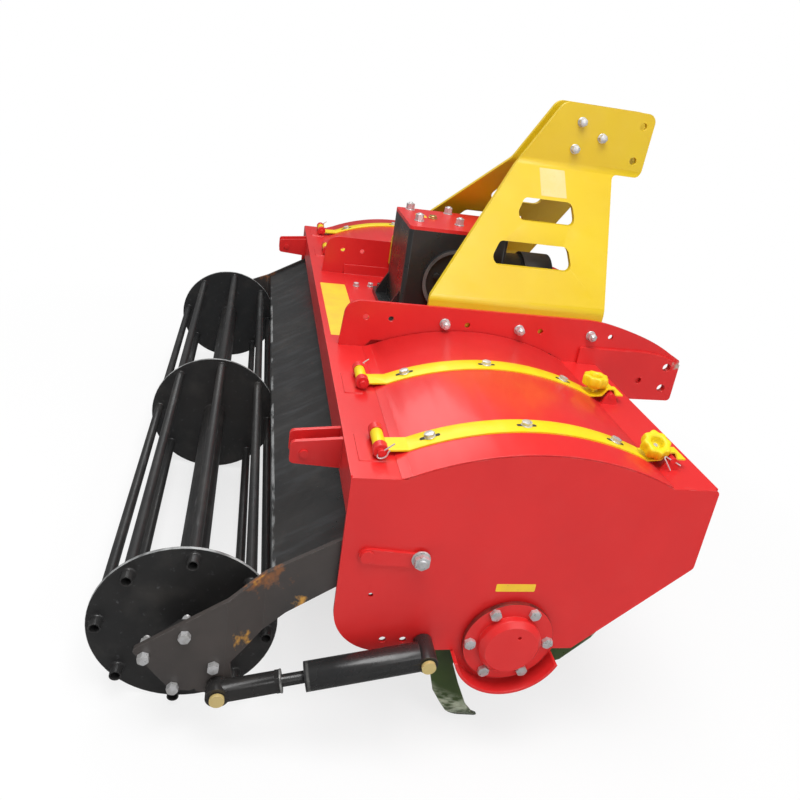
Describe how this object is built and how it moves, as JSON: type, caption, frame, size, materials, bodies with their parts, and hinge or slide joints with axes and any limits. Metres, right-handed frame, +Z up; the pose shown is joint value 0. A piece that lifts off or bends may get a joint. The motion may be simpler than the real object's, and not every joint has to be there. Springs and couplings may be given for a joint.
{
  "type": "rotary tiller",
  "caption": "Mounted rotary tiller with a three-point headstock, a bladed rotor under a hood with hinged covers, and a swinging tube roller behind.",
  "frame": {"origin": "on the floor under the centre of the machine's bounding box, as it is parked", "axes": "+X across the machine to its left-hand side, +Y to the rear where the roller is, +Z up from the floor"},
  "size_m": [2.586, 1.7056, 1.6134],
  "materials": {
    "red_paint": "gloss enamel, dusty and scratched",
    "yellow_paint": "gloss enamel",
    "black_paint": "semi-gloss enamel, dusty",
    "roller_paint": "black enamel, worn bright on rims and tubes",
    "black_plastic": "moulded",
    "zinc_plate": "dull zinc plate",
    "worn_steel": "machined, lightly greased",
    "blade_steel": "dark green enamel, polished by soil at the bends"
  },
  "bodies": {
    "frame": {"bearing_covers": "black_paint", "centre_deck": "red_paint", "drive_leg": "black_paint", "front_apron": "red_paint", "front_beam": "red_paint", "gearcase": "black_paint", "gearcase_lid": "red_paint", "hitch_beam_left": "red_paint", "hitch_beam_right": "red_paint", "hitch_plate_left": "red_paint", "hitch_plate_right": "red_paint", "hub_cap_left": "red_paint", "hub_cap_right": "red_paint", "hub_guard_left": "red_paint", "hub_guard_right": "red_paint", "input_housing": "black_paint", "mast_left": "yellow_paint", "mast_right": "yellow_paint", "mast_spacers": "zinc_plate", "pto_guard": "black_plastic", "rear_beam": "red_paint", "rear_clevis_left": "red_paint", "rear_clevis_right": "red_paint", "side_pins_left": "red_paint", "side_pins_right": "red_paint", "side_plate_left": "red_paint", "side_plate_right": "red_paint"},
    "rotor": {"rotor_right": "blade_steel", "rotor_left": "blade_steel"},
    "pto": {"pto_shaft": "worn_steel"},
    "roller_frame": {"roller_arm_right": "black_paint", "roller_arm_left": "black_paint", "tail_board": "black_paint", "roller_bearing_right": "black_paint", "roller_bearing_left": "black_paint"},
    "roller": {"roller": "roller_paint"},
    "link_barrel_right": {"link_barrel_right": "black_paint"},
    "link_rod_right": {"link_rod_right": "black_paint"},
    "link_barrel_left": {"link_barrel_left": "black_paint"},
    "link_rod_left": {"link_rod_left": "black_paint"},
    "cover_right": {"cover_right": "red_paint", "cover_straps_right": "yellow_paint"},
    "cover_left": {"cover_left": "red_paint", "cover_straps_left": "yellow_paint"}
  },
  "joints": [
    {"name": "rotor_spin", "type": "hinge", "parent": "frame", "child": "rotor", "pos_m": [0, -0.13224, 0.33], "axis": [1, 0, 0], "continuous": true},
    {"name": "pto_spin", "type": "hinge", "parent": "frame", "child": "pto", "pos_m": [0, -0.40293, 0.96121], "axis": [0, 0.9944, -0.1059], "continuous": true},
    {"name": "roller_swing", "type": "hinge", "parent": "frame", "child": "roller_frame", "pos_m": [0, 0.27114, 0.52941], "axis": [1, 0, 0], "range_deg": [-8, 8]},
    {"name": "roller_spin", "type": "hinge", "parent": "roller_frame", "child": "roller", "pos_m": [0, 0.63633, 0.219], "axis": [1, 0, 0], "continuous": true},
    {"name": "link_right_turn", "type": "hinge", "parent": "frame", "child": "link_barrel_right", "pos_m": [-1.25, 0.07971, 0.29939], "axis": [1, 0, 0], "range_deg": [-7, 7]},
    {"name": "link_right_extend", "type": "slide", "parent": "link_barrel_right", "child": "link_rod_right", "axis": [0, 0.9522, -0.3054], "range_m": [-0.042, 0.042]},
    {"name": "cover_right_open", "type": "hinge", "parent": "frame", "child": "cover_right", "pos_m": [-0.9, 0.28073, 0.75165], "axis": [-1, 0, 0], "range_deg": [0, 100]},
    {"name": "link_left_turn", "type": "hinge", "parent": "frame", "child": "link_barrel_left", "pos_m": [1.25, 0.07971, 0.29939], "axis": [1, 0, 0], "range_deg": [-7, 7]},
    {"name": "link_left_extend", "type": "slide", "parent": "link_barrel_left", "child": "link_rod_left", "axis": [0, 0.9522, -0.3054], "range_m": [-0.042, 0.042]},
    {"name": "cover_left_open", "type": "hinge", "parent": "frame", "child": "cover_left", "pos_m": [0.9, 0.28073, 0.75165], "axis": [-1, 0, 0], "range_deg": [0, 100]}
  ],
  "couplings": [
    {"joint": "pto_spin", "follows": "rotor_spin", "ratio": 2.45},
    {"joint": "link_right_turn", "follows": "roller_swing", "ratio": 0.77012},
    {"joint": "link_right_extend", "follows": "roller_swing", "m_per_rad": 0.27708},
    {"joint": "link_left_turn", "follows": "roller_swing", "ratio": 0.77012},
    {"joint": "link_left_extend", "follows": "roller_swing", "m_per_rad": 0.27708}
  ]
}
